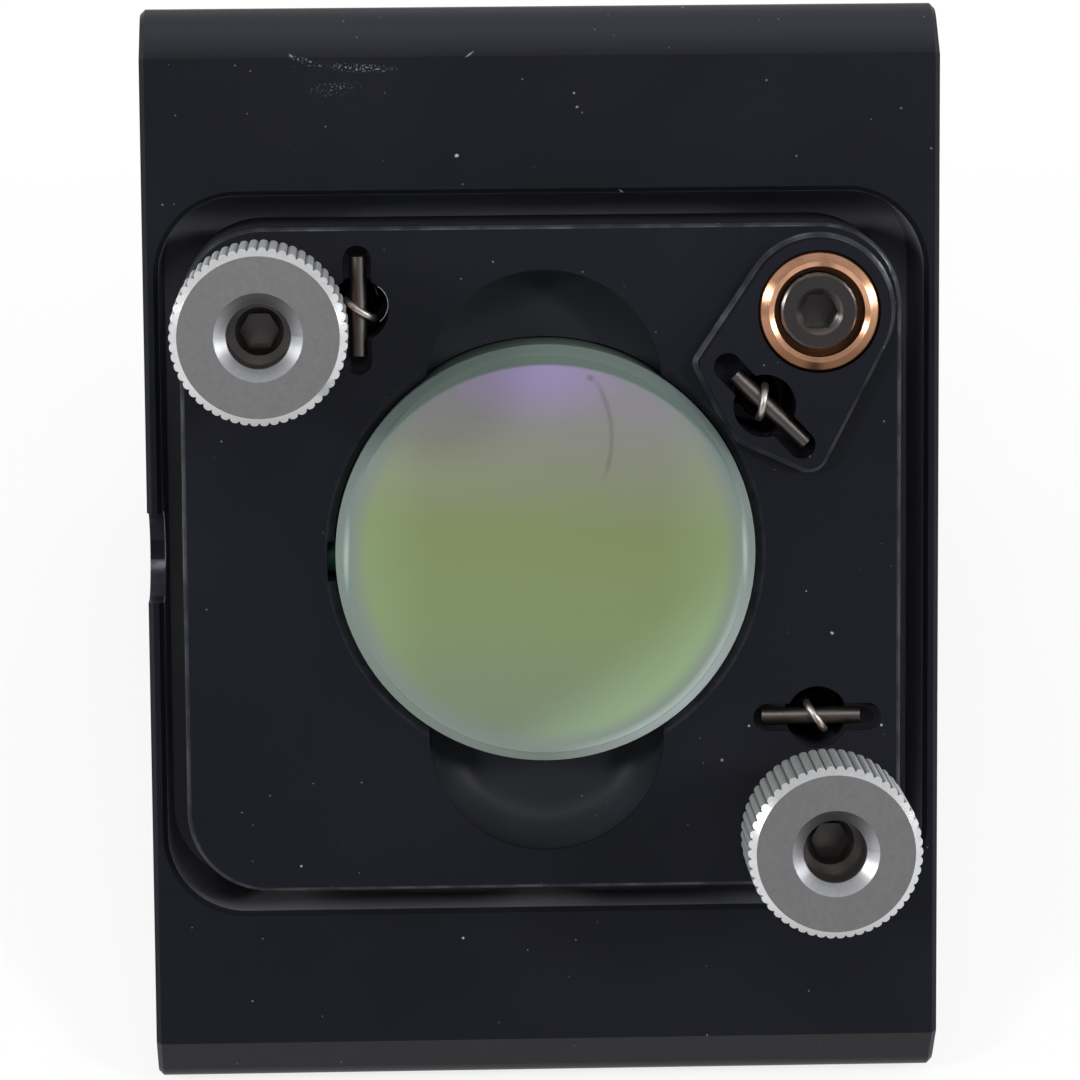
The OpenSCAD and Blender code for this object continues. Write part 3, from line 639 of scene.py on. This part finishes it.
class MOUNT_OT_bodywork(bpy.types.Operator):
    """Finish the housing and the kinematic plate in black anodised aluminium"""
    bl_idname = "mount.bodywork"
    bl_label = "Housing and Plate"

    def execute(self, context):
        finish = context.scene.mount_finish
        # The housing's dust and painted fill light lie in the recess.
        housing = black_anodised(
            "black_anodised_housing", RIM, low=(-23.22, -22.02, -9), high=(23.22, 22.02, RIM - 0.3),
            dust_and_fill=finish.dust_and_fill, edge_tilt=0.72, marks=(
                (-15.0, 30.4, 0.2, 0.08, -40, 0.4), (-14.1, 30.05, 1.2, 0.25, -19, 0.5),
                (-10.9, 29.65, 2.6, 0.32, -3, 0.45), (-12.4, 28.4, 1.9, 0.5, 5, 0.2),
                (-4.24, 30.42, 0.4, 0.07, 35, 0.4), (-5.1, 24.33, 0.16, 0.13, 10, 0.85),
                (2.0, 28.03, 0.09, 0.09, 0, 0.5), (2.18, 27.19, 0.13, 0.08, 30, 0.45),
                (4.87, 22.04, 0.28, 0.08, -40, 0.6)))
        # The plate's dust and painted fill light lie on all that is below its top. Its pattern has
        # a centre of its own, from which its marks are counted too.
        plate = black_anodised(
            "black_anodised_plate", PLATE_TOP, centre=(0.007, 0.003, 0),
            low=(-40, -40, -20), high=(40, 40, PLATE_TOP - 0.4),
            dust_and_fill=finish.thin_dust_and_fill, edge_tilt=0.3, marks=(
                (-10.26, 17.44, 0.32, 0.1, 0, 0.9), (-7.12, 17.48, 0.22, 0.05, 10, 0.4),
                (10.4, -7.73, 0.1, 0.14, 60, 0.8), (3.68, -15.49, 0.12, 0.11, 0, 0.45),
                # The two marks on the next line are painted highlights: glints on the edges at a
                # slot's lower corners.
                (5.33, -13.39, 0.09, 0.09, 0, 0.7), (13.42, -13.45, 0.1, 0.1, 0, 0.8),
                (-1.5, 17.5, 5.0, 0.1, 0, 0.15), (6.0, 17.5, 5.0, 0.1, 0, 0.15)))
        finish_nodes(housing, "housing")
        finish_nodes(plate, "kinematic_plate")
        return {"FINISHED"}


class MOUNT_OT_threads(bpy.types.Operator):
    """Cut the threads of the ports, the rod holes and the post holes"""
    bl_idname = "mount.threads"
    bl_label = "Threads"

    def execute(self, context):
        threads = context.scene.mount_threads
        finish = context.scene.mount_finish
        material, tree, shader = new_material(
            "black_anodised_thread", Base_Color=finish.anodised_light,
            Roughness=finish.anodised_roughness, IOR=1.5, Specular_IOR_Level=finish.anodised_gloss)
        fill(shader, Normal=grain_bump(tree, face_millimetres(tree), 0.16, 0.005))
        mounts = {mount["name"]: mount for mount in frame["record"]["mounts"]}
        ports, rods, posts = bmesh.new(), bmesh.new(), bmesh.new()
        rod_depth = 5 * MM
        for name in ("bottom_port", "rear_port"):
            place, radius, depth = self.hole(mounts[name])
            thread_ridge(
                ports, place, radius, radius - threads.port_depth, threads.port_pitch,
                -depth, 0, 64)
            dims = mounts[name.replace("port", "rod_holes")]["dims"]
            radius, half = dims["hole_r_mm"] * MM, dims["spacing_x_mm"] * MM / 2
            for x, y in ((-half, -half), (-half, half), (half, -half), (half, half)):
                thread_ridge(
                    rods, place @ Matrix.Translation((x, y, 0)), radius,
                    radius - threads.port_depth, threads.port_pitch, -rod_depth, 0, 20)
        for name in ("left_post_hole", "right_post_hole"):
            place, radius, depth = self.hole(mounts[name])
            thread_ridge(
                posts, place, radius, radius - threads.post_depth, threads.post_pitch,
                -depth, 0, 24)
        for name, bm in (
                ("port_threads", ports), ("rod_hole_threads", rods), ("post_hole_threads", posts)):
            new_piece(name, bm, material, "housing")
        return {"FINISHED"}

    def hole(self, mount):
        """A hole's place with z out of its mouth, its radius and its depth, in metres."""
        turn = Vector(mount["axis"]).to_track_quat("Z", "X").to_matrix().to_4x4()
        dims = mount["dims"]
        return Matrix.Translation(mount["pos_m"]) @ turn, dims["r_mm"] * MM, dims["length_mm"] * MM


class MOUNT_OT_mirror(bpy.types.Operator):
    """Finish the mirror as coated glass"""
    bl_idname = "mount.mirror"
    bl_label = "Mirror"

    def execute(self, context):
        finish_nodes(coated_glass(), "mirror")
        return {"FINISHED"}


class MOUNT_OT_knobs(bpy.types.Operator):
    """Finish the two knurled knobs"""
    bl_idname = "mount.knobs"
    bl_label = "Knobs"

    def execute(self, context):
        for node in ("adjuster_knob_1", "adjuster_knob_2"):
            finish_nodes(knob_aluminium(node), node)
        return {"FINISHED"}


class MOUNT_OT_bushings(bpy.types.Operator):
    """Turn the three bronze bushings, each with a bevelled flange and a counterbored mouth"""
    bl_idname = "mount.bushings"
    bl_label = "Bushings"

    def execute(self, context):
        for node in ("pivot_bushing", "adjuster_bushing_1", "adjuster_bushing_2"):
            self.turn(context.scene.mount_bushings, node)
        return {"FINISHED"}

    def turn(self, bushing, node):
        """One bushing: its section spun round its axis. The flange's bevel is cut in two steps."""
        low, high = face_box(node)
        flange, top, foot = (high.x - low.x) / 2, high.z, low.z
        wide, seat = flange - bushing.mouth, top - bushing.flange
        section = [
            (bushing.bore, foot), (bushing.body, foot), (bushing.body, seat), (flange, seat),
            (flange, top - 0.75 * wide), (flange - wide / 2, top - 0.34 * wide),
            (bushing.mouth, top),
            (bushing.counterbore, top - 0.75 * (bushing.mouth - bushing.counterbore)),
            (bushing.counterbore, top - bushing.depth), (bushing.bore, top - bushing.depth)]
        bm = bmesh.new()
        corners = [bm.verts.new((x, 0, z)) for x, z in section]
        loop = corners + [bm.edges.new((corners[i - 1], corners[i])) for i in range(len(corners))]
        spun(bm, loop, 2 * math.pi, 96)
        bmesh.ops.remove_doubles(bm, verts=bm.verts, dist=0.0001 * MM)
        place = FACE @ Matrix.Translation(((low.x + high.x) / 2, (low.y + high.y) / 2, 0))
        bmesh.ops.transform(bm, matrix=place, verts=bm.verts)
        new_piece(
            f"turned_{node}", bm, turned_bronze(node), "plate", replaces=[node])


class MOUNT_OT_screws(bpy.types.Operator):
    """Cut the fine threads of the adjuster and pivot screws, and finish the lock screw"""
    bl_idname = "mount.screws"
    bl_label = "Screws"

    def execute(self, context):
        finish = context.scene.mount_finish
        # Screws in the knobs get a lighter steel than the pivot: painted light in the knobs' bores.
        for node, body, steel in (
                ("pivot_screw", "pivot_screw", finish.pivot_steel),
                ("adjuster_screw_1", "adjuster_1", finish.screw_steel),
                ("adjuster_screw_2", "adjuster_2", finish.screw_steel)):
            self.fine_screw(context.scene.mount_threads, node, body, steel)
        black = plain_metal("blackened_steel", finish.black_steel, 0.4)
        finish_nodes(black, "mirror_lock_screw")
        finish_nodes(moulded_nylon(), "mirror_lock_tip")
        return {"FINISHED"}

    def fine_screw(self, threads, node, body, steel):
        """The CAD screw with its shank drawn in to the thread's root, and the ridge round it."""
        low, high = face_box(node)
        radius = (high.x - low.x) / 2
        root = radius - threads.adjuster_depth
        axis = FACE @ Matrix.Translation(((low.x + high.x) / 2, (low.y + high.y) / 2, 0))
        bm = bmesh.new()
        bm.from_mesh(frame["nodes"][node].data)
        bmesh.ops.remove_doubles(bm, verts=bm.verts, dist=0.001 * MM)
        bmesh.ops.transform(bm, matrix=axis.inverted(), verts=bm.verts)
        for vertex in bm.verts:
            r = vertex.co.xy.length
            if r > root:
                vertex.co.xy *= root / r
        bmesh.ops.transform(bm, matrix=axis, verts=bm.verts)
        first, last = low.z + 1.9 * MM, high.z - 0.12 * MM
        thread_ridge(bm, axis, root, radius, threads.adjuster_pitch, first, last, 24)
        material = turned_metal(f"turned_steel_{node}", node, steel, 0.26, 0.08, 0.06)[0]
        new_piece(f"threaded_{node}", bm, material, body, replaces=[node])


class MOUNT_OT_seats(bpy.types.Operator):
    """Finish the balls and their seats"""
    bl_idname = "mount.seats"
    bl_label = "Balls and Seats"

    def execute(self, context):
        finish = context.scene.mount_finish
        hard = plain_metal("polished_hard_steel", finish.hard_steel, 0.12, 0.2, 0.0002)
        finish_nodes(
            hard, "pivot_ball", "adjuster_ball_1", "adjuster_ball_2",
            "cone_seat", "groove_seat", "flat_seat")
        return {"FINISHED"}


class MOUNT_OT_pins(bpy.types.Operator):
    """Finish the spring pins"""
    bl_idname = "mount.pins"
    bl_label = "Spring Pins"

    def execute(self, context):
        finish = context.scene.mount_finish
        ground = plain_metal("ground_pin_steel", finish.pin_steel, 0.42, 0.12, 0.002)
        finish_nodes(ground, "plate_spring_pins", "housing_spring_pins")
        return {"FINISHED"}


class MOUNT_OT_springs(bpy.types.Operator):
    """Wind the three extension springs, each hooked over a pin at both ends"""
    bl_idname = "mount.springs"
    bl_label = "Springs"

    # The turn of each upper hook in degrees.
    hooks = (("spring_1", -33.0), ("spring_2", -56.0), ("spring_3", -100.4))

    def execute(self, context):
        for node, turn in self.hooks:
            self.wind(context.scene.mount_springs, node, math.radians(turn))
        return {"FINISHED"}

    def wind(self, springs, node, upper):
        """One spring. It crosses the two joints on which the plate tilts, and is wound as two
        halves that meet in mid coil. The lower hook lies across the housing's pin."""
        low, high = face_box(node)
        half_wire, coil, bend = springs.wire / 2, springs.coil, springs.bend
        lower = math.radians(-90)
        middle = (low + high) / 2
        top, bottom = high.z - half_wire - coil, low.z + half_wire + coil
        first, last = bottom + coil + springs.lead, top - coil - springs.lead
        early = math.atan2(bend, coil)
        ahead = (upper - lower) / 2 - early + math.pi * springs.turns
        rise = (last - first) / 2
        material = spring_wire(node)
        place = FACE @ Matrix.Translation((middle.x, middle.y, 0))
        for half, side, turn, height, tip, body in (
                ("upper", 1, upper, last, top, "plate"),
                ("lower", -1, lower, first, bottom, "housing")):
            bm = bmesh.new()
            onward = Vector((0, 0, side))
            outward = Vector((math.cos(turn), math.sin(turn), 0))
            begun = turn - side * early
            start = Vector((coil * math.cos(begun), coil * math.sin(begun), height))
            travel = onward.cross(start.xy.to_3d()).normalized()
            across = travel.to_track_quat("Z", "Y").to_matrix().to_4x4()
            bmesh.ops.create_circle(
                bm, cap_ends=False, segments=10, radius=half_wire,
                matrix=Matrix.Translation(start) @ across)
            ring = list(bm.verts) + list(bm.edges)
            hook(bm, ring, start, travel, onward, outward, bend, coil + springs.lead - bend, coil)
            spun(bm, ring, -side * ahead, round(ahead / math.radians(18)), rise=-side * rise)
            bmesh.ops.transform(bm, matrix=place, verts=bm.verts)
            piece = new_piece(
                f"wound_{node}_{half}", bm, material, replaces=[node])
            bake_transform(piece)


class MOUNT_OT_lint(bpy.types.Operator):
    """Lay the fibre of lint that is caught beside the first spring's slot"""
    bl_idname = "mount.lint"
    bl_label = "Lint"

    def execute(self, context):
        finish = context.scene.mount_finish
        material, tree, shader = new_material("lint_fibre", Roughness=0.8)
        tone = add(tree, "TexNoise", face_millimetres(tree), Scale=4.0)
        tone = add(tree, "Mix", tone, finish.dust_and_fill, finish.fibre, data_type="RGBA")
        fill(shader, Base_Color=tone)
        thick, curl = 0.04 * MM, 1.3 * MM
        spot = Vector((-10.65, 15.6, PLATE_TOP + 0.03)) * MM
        bm = bmesh.new()
        bmesh.ops.create_circle(
            bm, cap_ends=False, segments=6, radius=thick / 2,
            matrix=Matrix.Translation((curl, 0, 0)) @ Matrix.Rotation(math.radians(90), 4, "X"))
        spun(bm, list(bm.verts) + list(bm.edges), math.radians(110), 20, rise=0.1 * MM)
        place = FACE @ Matrix.Translation(spot) @ Matrix.Rotation(math.radians(-52), 4, "Z")
        bmesh.ops.transform(bm, matrix=place, verts=bm.verts)
        new_piece("lint_fibre", bm, material, "plate")
        return {"FINISHED"}


class MOUNT_OT_stage(bpy.types.Operator):
    """Set the camera, the floor and the soft light"""
    bl_idname = "mount.stage"
    bl_label = "Stage"

    def execute(self, context):
        stage = context.scene.mount_stage
        camera_data = bpy.data.cameras.new("camera")
        camera_data.lens = stage.lens
        camera_data.sensor_width = 36
        camera_data.clip_start = 0.01
        camera = bpy.data.objects.new("camera", camera_data)
        turn = (Matrix.Rotation(stage.roll, 4, "Z") @ Matrix.Rotation(stage.swing, 4, "Y")
                @ Matrix.Rotation(stage.tilt, 4, "X"))
        # The crossing of the port axes stands a little beside the middle of the picture.
        beside, below = 0.117 * MM, 0.309 * MM
        slide = Matrix.Translation((beside, -below, -stage.distance))
        camera.matrix_world = FACE @ (slide @ turn).inverted()
        context.scene.collection.objects.link(camera)
        context.scene.camera = camera
        self.floor(context)
        self.lamps(context, stage)
        self.world(context)
        context.scene.view_settings.view_transform = "Standard"
        return {"FINISHED"}

    def floor(self, context):
        """A plain pale floor that keeps a soft shadow and shows white to camera and metal."""
        bm = bmesh.new()
        bmesh.ops.create_grid(bm, x_segments=1, y_segments=1, size=3.0)
        mesh = bpy.data.meshes.new("floor")
        bm.to_mesh(mesh)
        bm.free()
        floor = bpy.data.objects.new("floor", mesh)
        material = bpy.data.materials.new("white_card")
        material.use_nodes = True
        tree = material.node_tree
        tree.nodes.clear()
        ray = add(tree, "LightPath")
        seen = ray.outputs["Is Camera Ray"]
        for other in ("Is Glossy Ray", "Is Transmission Ray"):
            seen = add(tree, "Math", seen, ray.outputs[other], operation="MAXIMUM")
        share = add(tree, "Math", seen, 0.8, operation="MULTIPLY")
        matt = add(tree, "BsdfDiffuse", Color="#f4f4f4")
        glow = add(tree, "Emission", Color="#ffffff", Strength=1.0)
        mix = add(tree, "MixShader", share, matt, glow)
        add(tree, "OutputMaterial", Surface=mix)
        mesh.materials.append(material)
        context.scene.collection.objects.link(floor)

    def lamps(self, context, stage):
        """A small softbox high on each side in front, a wide one overhead, and a low one on each
        side that draws highlights on the bevels."""
        target, distance = Vector((0, 0, HALF)), 0.6
        boxes = (
            ("softbox_left", (-0.64, -0.36, 0.67), (0.08, 0.10), stage.side_power),
            ("softbox_right", (0.64, -0.36, 0.67), (0.08, 0.10), stage.side_power),
            ("softbox_overhead", (0.0, -0.26, 0.97), (0.3, 0.2), stage.top_power),
            ("edge_light_left", (-0.903, -0.054, 0.426), (0.16, 0.16), stage.edge_power),
            ("edge_light_right", (0.92, -0.117, 0.371), (0.16, 0.16), stage.edge_power),
        )
        for name, direction, size, power in boxes:
            data = bpy.data.lights.new(name, "AREA")
            data.shape = "RECTANGLE"
            data.size, data.size_y = size
            data.energy = power
            lamp = bpy.data.objects.new(name, data)
            lamp.location = target + Vector(direction).normalized() * distance
            lamp.rotation_euler = (-Vector(direction)).to_track_quat("-Z", "Y").to_euler()
            context.scene.collection.objects.link(lamp)

    def world(self, context):
        """White at the horizon and behind the object, and a dim room before its face."""
        world = bpy.data.worlds.new("studio")
        world.use_nodes = True
        tree = world.node_tree
        tree.nodes.clear()
        direction = add(tree, "TexCoord").outputs["Generated"]
        before = add(tree, "VectorMath", direction, OUTWARD, operation="DOT_PRODUCT")
        room = add(tree, "ValToRGB", before, stops=(
            (0.0, "#fafafa"), (0.3, "#d4d4d6"), (0.6, "#8c8d92"), (0.85, "#74757a"),
            (1.0, "#74757a")))
        height = add(tree, "SeparateXYZ", direction).outputs["Z"]
        height = add(tree, "MapRange", height, 0.08, 0.35)
        colour = add(tree, "Mix", height, "#ffffff", room, data_type="RGBA")
        back = add(tree, "Background", Color=colour, Strength=1.0)
        add(tree, "OutputWorld", Surface=back)
        context.scene.world = world


class MOUNT_PT_panel(bpy.types.Panel):
    """Lists the pieces of the mirror mount"""
    bl_idname = "MOUNT_PT_panel"
    bl_label = "Mirror Mount"
    bl_space_type = "VIEW_3D"
    bl_region_type = "UI"
    bl_category = "Mirror Mount"

    def draw(self, context):
        column = self.layout.column()
        for operator in OPERATORS:
            column.operator(operator.bl_idname)
        for group in GROUPS:
            settings = getattr(context.scene, group)
            for name in settings.bl_rna.properties.keys():
                if name not in ("rna_type", "name"):
                    column.prop(settings, name)


OPERATORS = (
    MOUNT_OT_stage, MOUNT_OT_bodywork, MOUNT_OT_threads, MOUNT_OT_mirror, MOUNT_OT_knobs,
    MOUNT_OT_bushings, MOUNT_OT_screws, MOUNT_OT_seats, MOUNT_OT_pins, MOUNT_OT_springs,
    MOUNT_OT_lint,
)
GROUPS = {
    "mount_finish": MountFinish,
    "mount_stage": MountStage,
    "mount_springs": MountSprings,
    "mount_bushings": MountBushings,
    "mount_threads": MountThreads,
}


def register():
    """Registers the classes and hangs the settings on the scene."""
    for group in GROUPS.values():
        bpy.utils.register_class(group)
    for operator in OPERATORS:
        bpy.utils.register_class(operator)
    bpy.utils.register_class(MOUNT_PT_panel)
    for name, group in GROUPS.items():
        setattr(bpy.types.Scene, name, bpy.props.PointerProperty(type=group))


def unregister():
    """Takes them away again."""
    for name in GROUPS:
        delattr(bpy.types.Scene, name)
    bpy.utils.unregister_class(MOUNT_PT_panel)
    for operator in reversed(OPERATORS):
        bpy.utils.unregister_class(operator)
    for group in reversed(list(GROUPS.values())):
        bpy.utils.unregister_class(group)


def main():
    """Builds everything."""
    register()
    for operator in OPERATORS:
        category, name = operator.bl_idname.split(".")
        getattr(getattr(bpy.ops, category), name)()


if __name__ == "__main__":
    main()
